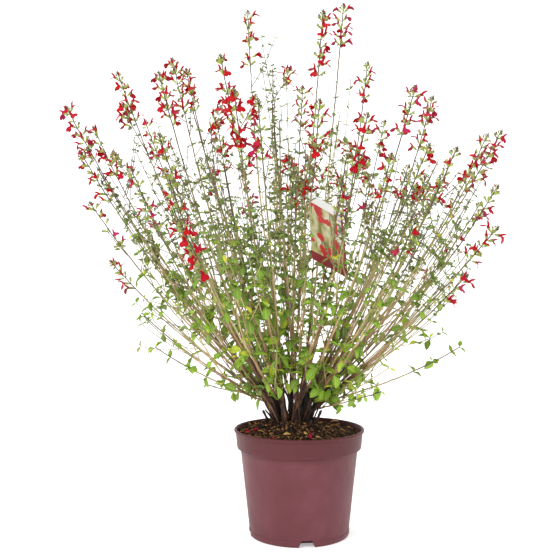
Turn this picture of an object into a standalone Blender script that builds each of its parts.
"""A red-flowered perennial salvia in its nursery pot.

The pot is a thin maroon plastic shell with a collar, four drain arches and a flat underside.
The soil fills it. The plant stands in the soil as a ring of short woody stools, each forked
into square leafy shoots that end in flower spikes. A printed card hangs from one shoot.

Metres, Z up, the pot's axis on Z, the surface it stands on at Z = 0, the front towards -Y.
"""

import math
import random

import bmesh
import bpy
import numpy as np
from mathutils import Matrix, Vector, kdtree

MM = 0.001
CLEARANCE = 0.3 * MM

# Pot
POT_HEIGHT = 152.4 * MM
POT_SIDES = 34
WALL = 2.0 * MM
FOOT_RADIUS = 72.8 * MM
BODY_TOP_RADIUS = 85.3 * MM
COLLAR_BOTTOM = 124.0 * MM
COLLAR_RADIUS = 90.6 * MM
COLLAR_TOP_RADIUS = 92.6 * MM
LIP_RADIUS = 95.0 * MM
FLOOR = 2.2 * MM
FOOT_BAND = 7.0 * MM

# Drain arches, four round the foot, the front one a little right of centre
ARCH_COUNT = 4
ARCH_TURN = math.radians(-83)
ARCH_WIDTH = 23.0 * MM
ARCH_CROWN = 15.0 * MM
ARCH_HEIGHT = 10.0 * MM
ARCH_REACH = 22.0 * MM
DRAIN_HOLE_RADIUS = 4.0 * MM

# Soil, heaped round the crown
SOIL_EDGE = 144.5 * MM
SOIL_CENTRE = 168.0 * MM
SOIL_ROUGHNESS = 1.6 * MM
SOIL_RINGS = 4
HEAP_RADIUS = 52 * MM

# Crown, where the stools stand
CROWN = Vector((-0.011, 0.014, SOIL_CENTRE))
OUTER_STOOLS = 11
INNER_STOOLS = 4
OUTER_RING = 25 * MM
INNER_RING = 9 * MM
UPRIGHT = math.radians(20)
STOOL_RADIUS = 2.8 * MM
STOOL_DEPTH = 24 * MM
STOOL_SIDES = 6
STRAIGHT_NECK = 3 * MM
FORK_REACH = (20, 42)
FORK_RISE = Vector((0, 0, 0.7))
FORK_SEED = 23

# The eye that the tips were read from: its distance to the pot's axis, height and place
EYE_DISTANCE = 1187 * MM
EYE_HEIGHT = 373 * MM
EYE_X = -33 * MM

# Shoot tips as the front view shows them at the pot's depth: (x, height) in millimetres
FLOWERING_TIPS = (
    (-340, 620), (-320, 555), (-300, 590), (-265, 670), (-305, 480), (-275, 395), (-245, 530),
    (-225, 600), (-205, 580), (-185, 690), (-205, 670), (-165, 675), (-195, 530), (-190, 490),
    (-115, 695), (-120, 600), (-95, 645), (-75, 760), (-60, 630), (-80, 525), (-175, 455),
    (5, 650), (35, 760), (65, 770), (30, 630), (100, 685), (100, 610), (125, 600),
    (70, 550), (20, 580), (135, 550), (-5, 535), (170, 650), (195, 635), (190, 565),
    (160, 535), (230, 560), (275, 580), (295, 585), (255, 525), (290, 505), (265, 480),
    (290, 445), (205, 510), (170, 455), (215, 410), (245, 375),
)
LEAFY_TIPS = (
    (-155, 615), (-125, 570), (-110, 535), (-135, 455), (-40, 630), (25, 500), (195, 455),
    (235, 270), (120, 205), (-230, 320), (-210, 270), (-135, 215),
)

# The dome of the plant, which gives each tip its depth
DOME_RADIUS = 315 * MM
DOME_CENTRE = 500 * MM
DOME_ABOVE = 285 * MM
DOME_BELOW = 345 * MM
DEPTH_SHARE = 0.88
DEPTH_SEED = 7

# Shoots
PATH_POINTS = 64
ARCH_CONTROL = (0.60, 0.60, 0.44)
SWAY = 9 * MM
SWAY_SEED = 41
BEND_ROUNDS = 70
SHOOT_GAP = 9.5 * MM
SISTER_GAP = 6 * MM
BASE_RADIUS = 2.1 * MM
MID_RADIUS = 1.35 * MM
TIP_RADIUS = 0.75 * MM
NODE_HEIGHT = 2.4 * MM
CURVE_TOLERANCE = 1.2 * MM
SPIKE_LENGTH = (58, 92)
BARE_LENGTH = 45 * MM
BARE_TIP = 12 * MM
FIRST_PAIR = (48, 75)
PAIR_STEP = (24, 34)
WHORLS = 2
SPIKED_PAIRS = 2
LEAFY_PAIRS = 3
OPEN_SHARE = 0.6
GROWTH_SEED = 1000
DRESS_SEED = 80

# Leaves: each shape is (share of the length, share of the width) from stalk to tip
LOW_LEAVES = 320 * MM
LEAF_THICKNESS = 0.7 * MM
LARGE_LEAF = 23 * MM
SMALL_LEAF = 13 * MM
LEAF_WIDTH = 0.52
LARGE_SHAPE = ((0.30, 0.92), (0.62, 0.94), (1.0, 0.0))
SMALL_SHAPE = ((0.42, 1.0), (1.0, 0.0))

# Calyces and florets
CALYX_PITCH = 0.62
CALYX_LENGTH = 8 * MM
CALYX_WIDTH = 3 * MM
CLOSED_MOUTH = 1.5 * MM
OPEN_MOUTH = 1.7 * MM
HOOD_LENGTH = 8.5 * MM
HOOD_RISE = 2.2 * MM
HOOD_THICKNESS = 0.9 * MM
LIP_LENGTH = 11 * MM
LIP_WIDTH = 12 * MM
LIP_THICKNESS = 0.76 * MM
BUD_LENGTH = 8 * MM
BUD_SWELL = 1.7

# Room kept between leaves, florets and stems of different shoots
CELL = 8 * MM
BLADE_ROOM = 2.4 * MM
BLADE_HALF = 0.6 * MM
ROOT_ROOM = 7 * MM
ROOT_LENGTH = 3.2 * MM
STEM_ROOM = 1.3
STEM_STEP = 3 * MM
RIM_ROOM = 6 * MM
TURNS = ((0, 0), (0.4, 0), (-0.4, 0), (0, 0.4), (0.7, 0.2), (-0.7, 0.2), (0, -0.4))

# Hang label: a card lying back among the shoots, held by a strap round one of them
CARD_WIDTH = 67 * MM
CARD_HEIGHT = 115 * MM
CARD_THICKNESS = 0.8 * MM
CARD_CENTRE = Vector((0.037, -0.082, 0.430))
CARD_ACROSS = Vector((36.7, 27.5, -19.0)).normalized()
CARD_DOWN = Vector((1.5, -49.6, -69.0))
CARD_CLIP = 3 * MM
CARD_ROOM = 9 * MM
CARD_MARGIN = 4 * MM
STRAP_WIDTH = 3.2 * MM
STRAP_THICKNESS = 0.8 * MM
STRAP_EYE = 2.9 * MM
STRAP_SET_IN = 1.5 * MM
STRAP_ROOM = 2.2 * MM
STRAP_STOOL = 11
STRAP_SHOOT = 1
STRAP_POINT = 37

# Material slots of the plant
STEM_SLOT, LEAF_SLOT, CALYX_SLOT, PETAL_SLOT = range(4)


def plain_material(name, colour, roughness):
    """One Principled material: colour as linear red, green, blue."""
    material = bpy.data.materials.new(name)
    material.use_nodes = True
    shader = material.node_tree.nodes["Principled BSDF"]
    shader.inputs["Base Color"].default_value = (*colour, 1.0)
    shader.inputs["Roughness"].default_value = roughness
    shader.inputs["Metallic"].default_value = 0.0
    return material


def mesh_object(name, bm, materials):
    """Put a bmesh into the scene as one named object, its faces pointing out."""
    bmesh.ops.recalc_face_normals(bm, faces=bm.faces)
    mesh = bpy.data.meshes.new(name)
    bm.to_mesh(mesh)
    bm.free()
    for material in materials:
        mesh.materials.append(material)
    thing = bpy.data.objects.new(name, mesh)
    bpy.context.scene.collection.objects.link(thing)
    return thing


def apply_boolean(target, operation, collection):
    """Join to the target, or cut from it, every object of a collection, which is then removed."""
    modifier = target.modifiers.new(operation.lower(), "BOOLEAN")
    modifier.operation = operation
    modifier.operand_type = "COLLECTION"
    modifier.collection = collection
    modifier.solver = "EXACT"
    bpy.context.view_layer.update()
    graph = bpy.context.evaluated_depsgraph_get()
    mesh = bpy.data.meshes.new_from_object(target.evaluated_get(graph))
    target.modifiers.clear()
    target.data = mesh
    for thing in list(collection.objects):
        bpy.data.objects.remove(thing, do_unlink=True)
    bpy.data.collections.remove(collection)


def operand_collection(name, things):
    """Move the objects into a new collection of their own."""
    collection = bpy.data.collections.new(name)
    bpy.context.scene.collection.children.link(collection)
    for thing in things:
        bpy.context.scene.collection.objects.unlink(thing)
        collection.objects.link(thing)
    return collection


def turned(profile, sides):
    """Spin a profile of (radius, height) points, from axis to axis, into a closed bmesh."""
    bm = bmesh.new()
    verts = [bm.verts.new((radius, 0.0, height)) for radius, height in profile]
    edges = [bm.edges.new(pair) for pair in zip(verts, verts[1:])]
    bmesh.ops.spin(
        bm, geom=verts + edges, cent=(0, 0, 0), axis=(0, 0, 1),
        angle=math.tau, steps=sides, use_merge=True, use_duplicate=False,
    )
    bmesh.ops.remove_doubles(bm, verts=bm.verts, dist=1e-6)
    return bm


def arch_block(name, turn, spread, lift, inner, outer):
    """A radial block of trapezoid section, the shape of a drain arch grown by spread."""
    top = ARCH_HEIGHT + spread
    taper = (ARCH_WIDTH - ARCH_CROWN) / 2 / ARCH_HEIGHT
    foot = ARCH_WIDTH / 2 + spread * 1.2 - taper * lift
    crown = ARCH_WIDTH / 2 + spread * 1.2 - taper * top
    section = ((-foot, lift), (foot, lift), (crown, top), (-crown, top))
    bm = bmesh.new()
    verts = [bm.verts.new((inner, across, height)) for across, height in section]
    face = bm.faces.new(verts)
    moved = bmesh.ops.extrude_face_region(bm, geom=[face])["geom"]
    ends = [item for item in moved if isinstance(item, bmesh.types.BMVert)]
    bmesh.ops.translate(bm, vec=(outer - inner, 0, 0), verts=ends)
    bmesh.ops.rotate(bm, verts=bm.verts, cent=(0, 0, 0), matrix=Matrix.Rotation(turn, 3, "Z"))
    return mesh_object(name, bm, [])


def prism(name, centre, radius, sides, bottom, top):
    """An upright many-sided cutter."""
    bm = bmesh.new()
    bmesh.ops.create_cone(
        bm, cap_ends=True, cap_tris=False, segments=sides,
        radius1=radius, radius2=radius, depth=top - bottom,
    )
    bmesh.ops.translate(bm, vec=(centre[0], centre[1], (top + bottom) / 2), verts=bm.verts)
    return mesh_object(name, bm, [])


def arch_turns():
    """The directions of the drain arches."""
    return [ARCH_TURN + math.tau * index / ARCH_COUNT for index in range(ARCH_COUNT)]


def make_pot(material):
    """Turned shell, then the arches' housings joined inside and their hollows cut out."""
    profile = (
        (0.0, 0.0),
        (FOOT_RADIUS - 2.4 * MM, 0.0),
        (FOOT_RADIUS, 2.2 * MM),
        (FOOT_RADIUS + 0.3 * MM, FOOT_BAND),
        (FOOT_RADIUS - 0.4 * MM, FOOT_BAND + 0.9 * MM),
        (BODY_TOP_RADIUS, COLLAR_BOTTOM - 1.0 * MM),
        (COLLAR_RADIUS - 1.2 * MM, COLLAR_BOTTOM + 0.4 * MM),
        (COLLAR_RADIUS, COLLAR_BOTTOM + 2.8 * MM),
        (COLLAR_TOP_RADIUS, POT_HEIGHT - 4.6 * MM),
        (LIP_RADIUS, POT_HEIGHT - 2.9 * MM),
        (LIP_RADIUS - 0.5 * MM, POT_HEIGHT - 0.5 * MM),
        (LIP_RADIUS - 2.2 * MM, POT_HEIGHT),
        (COLLAR_TOP_RADIUS - WALL, POT_HEIGHT - 2.4 * MM),
        (COLLAR_RADIUS - WALL, COLLAR_BOTTOM + 3.0 * MM),
        (BODY_TOP_RADIUS - WALL, COLLAR_BOTTOM + 1.6 * MM),
        (FOOT_RADIUS - WALL, FLOOR + 1.0 * MM),
        (0.0, FLOOR),
    )
    pot = mesh_object("pot", turned(profile, POT_SIDES), [material])
    inner = FOOT_RADIUS - ARCH_REACH
    housings = [
        arch_block("housing", turn, WALL, 1.0 * MM, inner - WALL, FOOT_RADIUS - 1.0 * MM)
        for turn in arch_turns()
    ]
    apply_boolean(pot, "UNION", operand_collection("housings", housings))
    hollows = [
        arch_block("hollow", turn, 0.0, -1.0 * MM, inner, FOOT_RADIUS + 5 * MM)
        for turn in arch_turns()
    ]
    for turn in arch_turns():
        middle = inner + ARCH_REACH * 0.4
        place = (middle * math.cos(turn), middle * math.sin(turn))
        hollows.append(
            prism("drain", place, DRAIN_HOLE_RADIUS, 8, ARCH_HEIGHT - 1 * MM, ARCH_HEIGHT + 5 * MM)
        )
    apply_boolean(pot, "DIFFERENCE", operand_collection("hollows", hollows))
    return pot


def soil_height(x, y):
    """The lumpy top of the soil, heaped round the crown."""
    share = math.hypot(x - CROWN.x, y - CROWN.y) / HEAP_RADIUS
    heap = SOIL_EDGE + (SOIL_CENTRE - SOIL_EDGE) * math.exp(-share * share)
    lumps = math.sin(x * 190 + 1.3) * math.cos(y * 160 + 0.4) + 0.6 * math.sin((x - y) * 310)
    return heap + SOIL_ROUGHNESS * lumps * 0.6


def make_soil(material, stools):
    """Fill the pot with a clearance to its wall, heap the top and open a hole for each stool."""
    gap = CLEARANCE
    edge = COLLAR_TOP_RADIUS - WALL - 1.6 * MM
    profile = [
        (0.0, FLOOR + gap),
        (FOOT_RADIUS - WALL - gap - 0.4 * MM, FLOOR + 1.0 * MM + gap),
        (BODY_TOP_RADIUS - WALL - gap - 0.3 * MM, COLLAR_BOTTOM + 1.6 * MM + gap),
        (COLLAR_RADIUS - WALL - gap - 0.3 * MM, COLLAR_BOTTOM + 3.0 * MM + gap),
    ]
    profile += [
        (edge * (SOIL_RINGS - ring) / SOIL_RINGS, SOIL_EDGE) for ring in range(SOIL_RINGS + 1)
    ]
    bm = turned(profile, POT_SIDES)
    for vert in bm.verts:
        if vert.co.z > SOIL_EDGE - 0.1 * MM:
            vert.co.z = soil_height(vert.co.x, vert.co.y)
    soil = mesh_object("soil", bm, [material])
    inner = FOOT_RADIUS - ARCH_REACH
    cutters = [
        arch_block("arch", turn, WALL + gap, -1.0 * MM, inner - WALL - gap, FOOT_RADIUS + 5 * MM)
        for turn in arch_turns()
    ]
    for stool in stools:
        foot = stool["foot"]
        bottom = foot.z - STOOL_DEPTH - gap
        hole = STOOL_RADIUS / math.cos(math.pi / STOOL_SIDES) + gap * 1.4
        cutters.append(prism("hole", foot, hole, STOOL_SIDES, bottom, foot.z + 30 * MM))
    apply_boolean(soil, "DIFFERENCE", operand_collection("soil_cutters", cutters))
    return soil


def tip_place(x, height, side, share):
    """Move a tip seen from the front along its sight line to its depth in the dome."""
    rise = DOME_ABOVE if height > DOME_CENTRE else DOME_BELOW
    level = max(0.0, 1 - ((height - DOME_CENTRE) / rise) ** 2)
    reach = max(0.0, DOME_RADIUS ** 2 * level - x * x)
    depth = side * share * DEPTH_SHARE * math.sqrt(reach)
    scale = 1 + depth / EYE_DISTANCE
    return Vector((
        EYE_X + (x - EYE_X) * scale,
        depth,
        EYE_HEIGHT + (height - EYE_HEIGHT) * scale,
    ))


def shoot_tips():
    """Every shoot's tip in space and whether it flowers; sides alternate front and back."""
    rng = random.Random(DEPTH_SEED)
    tips = []
    for flowers, table in ((True, FLOWERING_TIPS), (False, LEAFY_TIPS)):
        for index, (x, height) in enumerate(table):
            side = -1 if index % 2 == 0 else 1
            share = rng.uniform(0.55, 1.0)
            tips.append((tip_place(x * MM, height * MM, side, share), flowers))
    return tips


def ring_of_stools(shoots, count, radius):
    """Share shoots, sorted round the crown, between evenly spaced stools of one ring."""
    order = sorted(shoots, key=lambda shoot: shoot["azimuth"])
    groups = [list(group) for group in np.array_split(np.array(order, dtype=object), count)]
    sine = 0.0
    cosine = 0.0
    for index, group in enumerate(groups):
        for shoot in group:
            angle = shoot["azimuth"] - math.tau * index / count
            sine += math.sin(angle)
            cosine += math.cos(angle)
    start = math.atan2(sine, cosine)
    stools = []
    for index, group in enumerate(groups):
        angle = start + math.tau * index / count
        reach = radius * (1.0 if index % 2 else 0.86)
        foot = CROWN + Vector((math.cos(angle), math.sin(angle), 0)) * reach
        foot.z = soil_height(foot.x, foot.y)
        stools.append({"foot": foot, "shoots": group})
    return stools


def plan_stools():
    """Group the shoots into stools and give each stool its fork."""
    shoots = []
    for tip, flowers in shoot_tips():
        lean = tip - CROWN
        shoots.append({
            "tip": tip,
            "flowers": flowers,
            "azimuth": math.atan2(lean.y, lean.x),
            "tilt": math.atan2(math.hypot(lean.x, lean.y), lean.z),
        })
    upright = [shoot for shoot in shoots if shoot["tilt"] < UPRIGHT]
    leaning = [shoot for shoot in shoots if shoot["tilt"] >= UPRIGHT]
    stools = ring_of_stools(leaning, OUTER_STOOLS, OUTER_RING)
    stools += ring_of_stools(upright, INNER_STOOLS, INNER_RING)
    rng = random.Random(FORK_SEED)
    for stool in stools:
        mean = sum((shoot["tip"] for shoot in stool["shoots"]), Vector()) / len(stool["shoots"])
        lean = (mean - stool["foot"]).normalized()
        lean = (lean + FORK_RISE).normalized()
        stool["fork"] = stool["foot"] + lean * rng.uniform(*FORK_REACH) * MM
    return stools


def grow_paths(stools):
    """Arch each shoot from its stool to its tip, then bend neighbours clear of each other."""
    rng = random.Random(SWAY_SEED)
    paths = []
    owner = []
    for number, stool in enumerate(stools):
        total = len(stool["shoots"])
        for index, shoot in enumerate(stool["shoots"]):
            share = 0.45 + 0.5 * (index + 0.5) / total
            base = np.array(stool["foot"].lerp(stool["fork"], share))
            tip = np.array(shoot["tip"])
            control = base + (tip - base) * np.array(ARCH_CONTROL)
            t = np.linspace(0.0, 1.0, PATH_POINTS)[:, None]
            path = (1 - t) ** 2 * base + 2 * t * (1 - t) * control + t ** 2 * tip
            angle = rng.uniform(0, math.tau)
            sideways = np.array((math.cos(angle), math.sin(angle), 0.0))
            path += np.sin(t * math.pi) * sideways * rng.uniform(-SWAY, SWAY)
            paths.append(path)
            owner.append(number)
    paths = np.array(paths)
    ease = np.clip((np.arange(PATH_POINTS) - 3) / 8, 0, 1)
    for _ in range(BEND_ROUNDS):
        push = crowding(paths, owner) * ease[None, :, None]
        push += card_crowding(paths) * ease[None, :, None]
        middle = (paths[:, :-2] + paths[:, 2:]) / 2 - paths[:, 1:-1]
        paths[:, 1:-1] += 0.2 * middle * ease[None, 1:-1, None]
        paths += push
    flat = iter(paths)
    for stool in stools:
        for shoot in stool["shoots"]:
            shoot["path"] = next(flat)


def crowding(paths, owner):
    """How far each path point is pushed off the points of other shoots that come too near."""
    count, length, _ = paths.shape
    points = paths.reshape(-1, 3)
    tree = kdtree.KDTree(len(points))
    for index, point in enumerate(points):
        tree.insert(point, index)
    tree.balance()
    push = np.zeros_like(points)
    for index, point in enumerate(points):
        shoot = index // length
        for other, other_index, distance in tree.find_range(point, SHOOT_GAP):
            neighbour = other_index // length
            if neighbour == shoot:
                continue
            gap = SHOOT_GAP
            if owner[neighbour] == owner[shoot]:
                gap = SISTER_GAP
                if index % length < 12:
                    continue
            if distance >= gap:
                continue
            away = point - np.array(other)
            away[2] *= 0.2
            size = np.linalg.norm(away)
            if size < 1e-7:
                away = np.array((1.0, 0.0, 0.0)) * (1 if shoot > neighbour else -1)
                size = 1.0
            push[index] += away / size * (gap - distance) * 0.3
    return push.reshape(paths.shape)


def card_frame():
    """The card's three axes: across to the right, down its face, and out of its face."""
    down = (CARD_DOWN - CARD_ACROSS * CARD_DOWN.dot(CARD_ACROSS)).normalized()
    return CARD_ACROSS, down, down.cross(CARD_ACROSS).normalized()


def card_points():
    """A grid of points about 4 mm apart over the card, 2 mm past its edges."""
    across, down, _ = card_frame()
    return [
        CARD_CENTRE + across * a + down * b
        for a in np.linspace(-0.5, 0.5, 18) * (CARD_WIDTH + CARD_MARGIN)
        for b in np.linspace(-0.5, 0.5, 30) * (CARD_HEIGHT + CARD_MARGIN)
    ]


def card_crowding(paths):
    """Push path points that come too near the card out along its face."""
    keep = CARD_ROOM
    across, down, face = (np.array(axis) for axis in card_frame())
    offset = paths - np.array(CARD_CENTRE)
    a = offset @ across
    b = offset @ down
    c = offset @ face
    over = (np.abs(a) < CARD_WIDTH / 2 + keep) & (np.abs(b) < CARD_HEIGHT / 2 + keep)
    side = np.where(np.where(over, c, 0.0).sum(axis=1, keepdims=True) > 0, 1.0, -1.0)
    amount = np.where(over, np.clip((keep - side * c) * 0.5, 0.0, 2 * MM), 0.0)
    return (side * amount)[:, :, None] * face


class Clearance:
    """Remembers points on finished pieces, so that a leaf or floret that would touch is turned."""

    def __init__(self):
        self.cells = {}

    def key(self, point):
        return tuple(int(math.floor(value / CELL)) for value in point)

    def add(self, point, radius, owner):
        self.cells.setdefault(self.key(point), []).append((Vector(point), radius, owner))

    def free(self, point, radius, owner, root):
        """True if nothing lies within the radius, the shoot's own stem near the root aside."""
        i, j, k = self.key(point)
        for a in (i - 1, i, i + 1):
            for b in (j - 1, j, j + 1):
                for c in (k - 1, k, k + 1):
                    for other, size, tag in self.cells.get((a, b, c), ()):
                        if tag == owner and (other - root).length < ROOT_ROOM:
                            continue
                        if (other - point).length < size + radius:
                            return False
        return True


def stem_radius(share):
    """Half the stem's width, from its woody base to its tip."""
    if share < 0.3:
        return BASE_RADIUS + (MID_RADIUS - BASE_RADIUS) * share / 0.3
    return MID_RADIUS + (TIP_RADIUS - MID_RADIUS) * (share - 0.3) / 0.7


class Stem:
    """A square stem along a path: places and frames by arc length."""

    def __init__(self, path):
        self.points = [Vector(point) for point in path]
        self.reach = [0.0]
        for before, after in zip(self.points, self.points[1:]):
            self.reach.append(self.reach[-1] + (after - before).length)
        self.length = self.reach[-1]
        tangent = (self.points[1] - self.points[0]).normalized()
        across = tangent.cross(Vector((0.3, 1.0, 0.0))).normalized()
        self.across = [across]
        for before, after in zip(self.points, self.points[1:]):
            tangent = (after - before).normalized()
            across = (across - tangent * across.dot(tangent)).normalized()
            self.across.append(across)

    def frame(self, s):
        """Place, direction, and two axes across the stem at arc length s."""
        index = 0
        while index < len(self.reach) - 2 and self.reach[index + 1] < s:
            index += 1
        span = self.reach[index + 1] - self.reach[index]
        share = (s - self.reach[index]) / span
        place = self.points[index].lerp(self.points[index + 1], share)
        low = max(0, index - 1)
        high = min(len(self.points) - 1, index + 2)
        along = (self.points[high] - self.points[low]).normalized()
        across = self.across[index]
        across = (across - along * across.dot(along)).normalized()
        return place, along, across, along.cross(across)

    def side(self, s, number):
        """Place on the stem's side, and its outward, upward and rightward axes."""
        place, along, across, beyond = self.frame(s)
        angle = number * math.pi / 2
        outward = across * math.cos(angle) + beyond * math.sin(angle)
        place = place + outward * stem_radius(s / self.length) * 0.9
        return place, outward, along, along.cross(outward)


def growth_plan(shoot, number):
    """Where the shoot's leaf pairs and flower whorls stand, by arc length from its base."""
    rng = random.Random(GROWTH_SEED + number)
    stem = shoot["stem"]
    length = stem.length
    shoot["spike"] = rng.uniform(*SPIKE_LENGTH) * MM if shoot["flowers"] else 0.0
    leafy_end = length - shoot["spike"] - (BARE_LENGTH if shoot["spike"] else BARE_TIP)
    s = rng.uniform(*FIRST_PAIR) * MM
    pairs = []
    turn = rng.randrange(2)
    while s < leafy_end:
        pairs.append((s, turn))
        turn = 1 - turn
        s += rng.uniform(*PAIR_STEP) * MM
    whorls = []
    if shoot["spike"]:
        for step in range(WHORLS):
            share = (step + rng.uniform(-0.1, 0.1)) / WHORLS
            whorls.append((length - shoot["spike"] * (1 - share), turn))
            turn = 1 - turn
    return pairs, whorls


def spread_choice(sites, count, rng):
    """Pick count of the sites, spread evenly along the shoot."""
    if len(sites) <= count:
        return sites
    step = len(sites) / count
    return [sites[int(step * (index + rng.uniform(0.0, 0.99)))] for index in range(count)]


def blade_sections(root, outward, up, right, length, width, pitch, droop, fractions):
    """Centre, rightward and thickness axes, and half width at each fraction of a blade."""
    sections = []
    place = root
    before = 0.0
    for fraction, share in fractions:
        angle = pitch - droop * fraction
        along = outward * math.cos(angle) + up * math.sin(angle)
        place = place + along * length * (fraction - before)
        before = fraction
        sections.append((place, right, along.cross(right), width / 2 * share))
    return sections


def turned_side(side, yaw):
    """The side's axes turned about the stem."""
    place, outward, up, right = side
    swung = outward * math.cos(yaw) + right * math.sin(yaw)
    return place, swung, up, up.cross(swung)


def blade_free(clearance, sections, owner, root):
    """Whether a blade's middle and edges keep off everything placed so far."""
    previous = root
    for place, right, _, half in sections:
        middle = (previous + place) / 2
        for shift in (-1.0, 0.0, 1.0):
            for spot in (place + right * half * shift, middle + right * half * shift * 0.8):
                if (spot - root).length < ROOT_LENGTH:
                    continue
                if not clearance.free(spot, BLADE_ROOM, owner, root):
                    return False
        previous = place
    return True


def claim_blade(clearance, sections, owner, root):
    """Remember a blade's surface as taken."""
    previous = root
    for place, right, _, half in sections:
        for shift in (-1.0, -0.5, 0.0, 0.5, 1.0):
            clearance.add(place + right * half * shift, BLADE_HALF, owner)
            middle = (previous + place) / 2
            clearance.add(middle + right * half * shift * 0.85, BLADE_HALF, owner)
        previous = place


def calyx_axes(side, pitch):
    """A calyx's mouth and its axes: along it, over it and to its right."""
    place, outward, up, right = side
    along = outward * math.cos(pitch) + up * math.sin(pitch)
    return place + along * CALYX_LENGTH, along, along.cross(right), right


def hood_end(side, pitch):
    """Where a floret's hood ends."""
    centre, along, over, _ = calyx_axes(side, pitch)
    return centre + along * HOOD_LENGTH + over * HOOD_RISE


def fit_organ(clearance, stem, s, number, owner, shape, hooded=False):
    """Try a leaf or floret upright, then swung and lifted, until it stands clear."""
    length, width, pitch, droop, fractions = shape
    for yaw, lift in TURNS:
        side = turned_side(stem.side(s, number), yaw)
        root = side[0]
        sections = blade_sections(*side, length, width, pitch + lift, droop, fractions)
        if sections[-1][0].z < POT_HEIGHT + RIM_ROOM:
            continue
        tip = hood_end(side, pitch + lift) if hooded else sections[-1][0]
        if not clearance.free(tip, BLADE_ROOM, owner, root):
            continue
        if blade_free(clearance, sections, owner, root):
            claim_blade(clearance, sections, owner, root)
            clearance.add(tip, BLADE_HALF, owner)
            return {"side": side, "sections": sections, "pitch": pitch + lift}
    return None


def dress_shoots(stools):
    """Choose the leaves and florets of every shoot so that none touches another."""
    clearance = Clearance()
    for point in card_points():
        clearance.add(point, 1.6 * MM, "card")
    for number, stool in enumerate(stools):
        for index, shoot in enumerate(stool["shoots"]):
            shoot["stem"] = Stem(shoot["path"])
            shoot["owner"] = (number, index)
            steps = int(shoot["stem"].length / STEM_STEP)
            for step in range(steps + 1):
                s = shoot["stem"].length * step / steps
                place = shoot["stem"].frame(s)[0]
                room = stem_radius(step / steps) * STEM_ROOM
                clearance.add(place, room, shoot["owner"])
    strap = plan_strap(stools, clearance)
    rng = random.Random(DRESS_SEED)
    number = 0
    for stool in stools:
        for shoot in stool["shoots"]:
            dress_shoot(shoot, number, clearance, rng)
            number += 1
    return strap


def plan_strap(stools, clearance):
    """The strap's two ends, in the card's top edge and round a stem, with its room kept free."""
    down = card_frame()[1]
    anchor = CARD_CENTRE - down * (CARD_HEIGHT / 2 - STRAP_SET_IN)
    eye = Vector(stools[STRAP_STOOL]["shoots"][STRAP_SHOOT]["path"][STRAP_POINT])
    steps = int((eye - anchor).length / STEM_STEP)
    for step in range(2, steps - 1):
        clearance.add(anchor.lerp(eye, step / steps), STRAP_ROOM, "strap")
    for turn in range(8):
        angle = math.tau * turn / 8
        ring_point = Vector((math.cos(angle), math.sin(angle), 0)) * STRAP_EYE
        clearance.add(eye + ring_point, STRAP_ROOM, "strap")
    return {"anchor": anchor, "eye": eye}


def dress_shoot(shoot, number, clearance, rng):
    """Fit the leaves and the florets of one shoot, number by number round its stem."""
    stem = shoot["stem"]
    owner = shoot["owner"]
    pairs, whorls = growth_plan(shoot, number)
    shoot["organs"] = []
    for s, turn in spread_choice(pairs, SPIKED_PAIRS if whorls else LEAFY_PAIRS, rng):
        low = stem.frame(s)[0].z < LOW_LEAVES
        size = rng.uniform(0.85, 1.15) * (LARGE_LEAF if low else SMALL_LEAF)
        fractions = LARGE_SHAPE if low else SMALL_SHAPE
        found = []
        for side in (turn, turn + 2):
            pitch = rng.uniform(0.5, 0.95)
            shape = (size, size * LEAF_WIDTH, pitch, rng.uniform(0.2, 0.9), fractions)
            organ = fit_organ(clearance, stem, s, side, owner, shape)
            if organ:
                organ["grow"] = add_leaf
                organ["number"] = side
                found.append(organ)
        if found:
            shoot["organs"].append((s, found))
    for s, turn in whorls:
        found = []
        for side in (turn, turn + 2):
            open_floret = rng.random() < OPEN_SHARE
            length = CALYX_LENGTH + (LIP_LENGTH if open_floret else 0.0)
            width = LIP_WIDTH if open_floret else CALYX_WIDTH
            shape = (length, width, CALYX_PITCH, 0.5, ((0.55, 0.8), (1.0, 0.8)))
            organ = fit_organ(clearance, stem, s, side, owner, shape, open_floret)
            if organ is None and open_floret:
                open_floret = False
                shape = (CALYX_LENGTH, CALYX_WIDTH, CALYX_PITCH, 0.3, ((0.6, 1.0), (1.0, 1.0)))
                organ = fit_organ(clearance, stem, s, side, owner, shape)
            if organ:
                organ["grow"] = add_floret if open_floret else add_closed_calyx
                organ["number"] = side
                found.append(organ)
        if found:
            shoot["organs"].append((s, found))


def ring(bm, place, across, beyond, radius):
    """The four corners of a square stem's section."""
    corners = []
    for index in range(4):
        angle = math.pi / 4 + index * math.pi / 2
        offset = across * math.cos(angle) + beyond * math.sin(angle)
        corners.append(bm.verts.new(place + offset * radius * 1.2))
    return corners


def skin(bm, inner, outer, slot):
    """Join two rings of the same number of points by faces."""
    count = len(inner)
    for index in range(count):
        after = (index + 1) % count
        face = bm.faces.new((inner[index], inner[after], outer[after], outer[index]))
        face.material_index = slot


def blade_ring(bm, place, right, up, half, thick):
    """Four points: lower left, lower right, upper right, upper left."""
    return [
        bm.verts.new(place - right * half - up * thick),
        bm.verts.new(place + right * half - up * thick),
        bm.verts.new(place + right * half + up * thick),
        bm.verts.new(place - right * half + up * thick),
    ]


def point_off(bm, rim, place, up, thick, slot):
    """Close a four-point rim to a pointed end that keeps its thickness."""
    low = bm.verts.new(place - up * thick)
    high = bm.verts.new(place + up * thick)
    faces = (
        (rim[0], rim[1], low),
        (rim[2], rim[3], high),
        (rim[1], rim[2], high, low),
        (rim[3], rim[0], low, high),
    )
    for corners in faces:
        bm.faces.new(corners).material_index = slot


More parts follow.
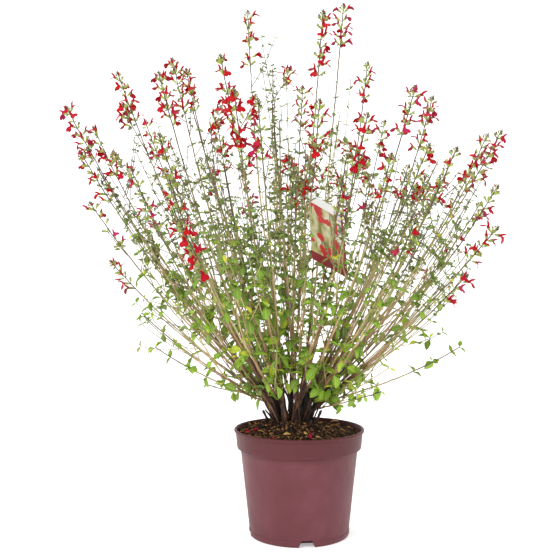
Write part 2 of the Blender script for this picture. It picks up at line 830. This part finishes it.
def add_leaf(bm, root, organ):
    """Grow a leaf from a quad on the stem's side."""
    rim = root
    sections = organ["sections"]
    thick = LEAF_THICKNESS / 2
    for place, right, up, half in sections[:-1]:
        outer = blade_ring(bm, place, right, up, half, thick)
        skin(bm, rim, outer, LEAF_SLOT)
        rim = outer
    place, _, up, _ = sections[-1]
    point_off(bm, rim, place, up, thick, LEAF_SLOT)


def add_closed_calyx(bm, root, organ):
    """Grow a calyx with no petals from a quad on the stem's side."""
    centre, _, over, right = calyx_axes(organ["side"], organ["pitch"])
    rim = blade_ring(bm, centre, right, over, CLOSED_MOUTH, CLOSED_MOUTH * 1.1)
    skin(bm, root, rim, CALYX_SLOT)
    bm.faces.new(rim).material_index = CALYX_SLOT


def add_floret(bm, root, organ):
    """Calyx, narrow hood above and broad lower lip below, which share the throat's edge."""
    centre, along, over, right = calyx_axes(organ["side"], organ["pitch"])
    rim = blade_ring(bm, centre, right, over, OPEN_MOUTH, OPEN_MOUTH * 1.1)
    left = bm.verts.new(centre - right * OPEN_MOUTH)
    far = bm.verts.new(centre + right * OPEN_MOUTH)
    bm.faces.new((root[0], root[1], rim[1], rim[0])).material_index = CALYX_SLOT
    bm.faces.new((root[1], root[2], rim[2], far, rim[1])).material_index = CALYX_SLOT
    bm.faces.new((root[2], root[3], rim[3], rim[2])).material_index = CALYX_SLOT
    bm.faces.new((root[3], root[0], rim[0], left, rim[3])).material_index = CALYX_SLOT
    hood_rim = [left, far, rim[2], rim[3]]
    hood_tip = hood_end(organ["side"], organ["pitch"])
    point_off(bm, hood_rim, hood_tip, over, HOOD_THICKNESS / 2, PETAL_SLOT)
    fall = (along * 0.75 - over * 0.66).normalized()
    lip_over = fall.cross(right)
    spread = centre + along * 2.2 * MM + fall * LIP_LENGTH * 0.42 - over * 0.8 * MM
    lip_rim = blade_ring(bm, spread, right, lip_over, LIP_WIDTH / 2, LIP_THICKNESS / 2)
    skin(bm, [rim[0], rim[1], far, left], lip_rim, PETAL_SLOT)
    tip = spread + fall * LIP_LENGTH * 0.42
    point_off(bm, lip_rim, tip, lip_over, LIP_THICKNESS / 2, PETAL_SLOT)


def between(stem, start, end):
    """Stops that keep a bare stretch of stem close to its curve, split where it strays most."""
    first = stem.frame(start)[0]
    chord = stem.frame(end)[0] - first
    worst = CURVE_TOLERANCE
    split = None
    for reach, place in zip(stem.reach, stem.points):
        if start + NODE_HEIGHT < reach < end - NODE_HEIGHT:
            offset = place - first
            away = (offset - chord * offset.dot(chord) / chord.length_squared).length
            if away > worst:
                worst = away
                split = reach
    if split is None:
        return []
    return between(stem, start, split) + [(split, [])] + between(stem, split, end)


def shoot_mesh(shoot):
    """A square stem with its leaves and florets grown out of its sides, one closed body."""
    stem = shoot["stem"]
    bm = bmesh.new()
    end = stem.length
    stops = [(0.0, [])]
    for s, organs in shoot["organs"]:
        stops += between(stem, stops[-1][0], s)
        stops.append((s - NODE_HEIGHT / 2, organs))
        stops.append((s + NODE_HEIGHT / 2, []))
    stops += between(stem, stops[-1][0], end)
    if shoot["spike"]:
        stops.append((end - BUD_LENGTH, []))
    rings = []
    for s, _ in stops:
        place, _, across, beyond = stem.frame(s)
        bud = BUD_SWELL if shoot["spike"] and s > end - BUD_LENGTH - MM else 1.0
        rings.append(ring(bm, place, across, beyond, stem_radius(s / end) * bud))
    bm.faces.new(rings[0][::-1]).material_index = STEM_SLOT
    for index in range(len(rings) - 1):
        grown = {organ["number"] % 4: organ for organ in stops[index][1]}
        for side in range(4):
            left = (side - 1) % 4
            low, high = rings[index], rings[index + 1]
            root = [low[left], low[side], high[side], high[left]]
            organ = grown.get(side)
            if organ is None:
                bm.faces.new(root).material_index = STEM_SLOT
            else:
                organ["grow"](bm, root, organ)
    tip = bm.verts.new(stem.frame(end)[0])
    last = rings[-1]
    slot = CALYX_SLOT if shoot["spike"] else STEM_SLOT
    for side in range(4):
        bm.faces.new((last[(side - 1) % 4], last[side], tip)).material_index = slot
    return bm


def stool_mesh(stool):
    """The woody base: a six-sided stub in the soil that leans out to its fork."""
    foot = stool["foot"]
    fork = stool["fork"]
    levels = (
        (foot - Vector((0, 0, STOOL_DEPTH)), STOOL_RADIUS),
        (foot + Vector((0, 0, STRAIGHT_NECK)), STOOL_RADIUS),
        (foot.lerp(fork, 0.6), STOOL_RADIUS * 0.92),
        (fork, STOOL_RADIUS * 0.72),
    )
    bm = bmesh.new()
    rings = []
    for place, radius in levels:
        corners = []
        for index in range(STOOL_SIDES):
            angle = math.tau * index / STOOL_SIDES
            offset = Vector((math.cos(angle), math.sin(angle), 0)) * radius
            corners.append(bm.verts.new(place + offset))
        rings.append(corners)
    bm.faces.new(rings[0][::-1])
    for low, high in zip(rings, rings[1:]):
        skin(bm, low, high, STEM_SLOT)
    bm.faces.new(rings[-1])
    return bm


def make_plant(stools, materials):
    """One object for each stool with its shoots joined to it by one union."""
    for number, stool in enumerate(stools):
        name = f"stool_{number + 1:02d}"
        body = mesh_object(name, stool_mesh(stool), materials)
        shoots = [
            mesh_object(f"shoot_{index}", shoot_mesh(shoot), materials)
            for index, shoot in enumerate(stool["shoots"])
        ]
        apply_boolean(body, "UNION", operand_collection(f"shoots_{number}", shoots))


def strap_mesh(strap):
    """A flat band drawn to a teardrop: its round end encloses the stem, its point is in the card."""
    run = strap["anchor"] - strap["eye"]
    reach = run.length
    along = run.normalized()
    aside = along.cross(Vector((0, 0, 1))).normalized()
    over = along.cross(aside)
    angles = [math.radians(100 + 160 * index / 6) for index in range(7)]
    outlines = []
    for radius, end, half in (
        (STRAP_EYE, reach - 4 * MM, 0.2 * MM),
        (STRAP_EYE + STRAP_THICKNESS, reach, 1.0 * MM),
    ):
        outline = [(radius * math.cos(angle), radius * math.sin(angle)) for angle in angles]
        outline += [(end, -half), (end, half)]
        outlines.append(outline)
    bm = bmesh.new()
    loops = []
    for outline in outlines:
        for level in (-STRAP_WIDTH / 2, STRAP_WIDTH / 2):
            loops.append([
                bm.verts.new(strap["eye"] + along * u + aside * v + over * level)
                for u, v in outline
            ])
    inner_low, inner_high, outer_low, outer_high = loops
    skin(bm, inner_low, inner_high, 0)
    skin(bm, inner_high, outer_high, 0)
    skin(bm, outer_high, outer_low, 0)
    skin(bm, outer_low, inner_low, 0)
    return bm


def make_label(material, strap):
    """A flat card with clipped corners, and the strap that holds it to a shoot."""
    across, down, face = card_frame()
    clip = CARD_CLIP
    wide = CARD_WIDTH / 2
    tall = CARD_HEIGHT / 2
    outline = (
        (-wide + clip, -tall), (wide - clip, -tall), (wide, -tall + clip), (wide, tall - clip),
        (wide - clip, tall), (-wide + clip, tall), (-wide, tall - clip), (-wide, -tall + clip),
    )
    bm = bmesh.new()
    back = CARD_CENTRE - face * CARD_THICKNESS / 2
    verts = [bm.verts.new(back + across * a + down * b) for a, b in outline]
    plate = bm.faces.new(verts)
    moved = bmesh.ops.extrude_face_region(bm, geom=[plate])["geom"]
    top = [item for item in moved if isinstance(item, bmesh.types.BMVert)]
    bmesh.ops.translate(bm, vec=face * CARD_THICKNESS, verts=top)
    label = mesh_object("label", bm, [material])
    band = mesh_object("strap", strap_mesh(strap), [material])
    apply_boolean(label, "UNION", operand_collection("strap", [band]))


def main():
    """Clear the scene, plan the plant, then make pot, soil, label and stools."""
    for thing in list(bpy.data.objects):
        bpy.data.objects.remove(thing, do_unlink=True)
    pot_plastic = plain_material("pot_plastic", (0.135, 0.045, 0.052), 0.42)
    soil_mix = plain_material("soil_mix", (0.013, 0.008, 0.006), 0.95)
    card = plain_material("printed_card", (0.72, 0.70, 0.66), 0.35)
    plant_materials = [
        plain_material("stem_bark", (0.24, 0.15, 0.08), 0.7),
        plain_material("leaf_green", (0.19, 0.30, 0.07), 0.6),
        plain_material("calyx_green", (0.22, 0.24, 0.08), 0.6),
        plain_material("petal_red", (0.75, 0.01, 0.04), 0.5),
    ]
    stools = plan_stools()
    grow_paths(stools)
    strap = dress_shoots(stools)
    make_pot(pot_plastic)
    make_soil(soil_mix, stools)
    make_label(card, strap)
    make_plant(stools, plant_materials)


main()
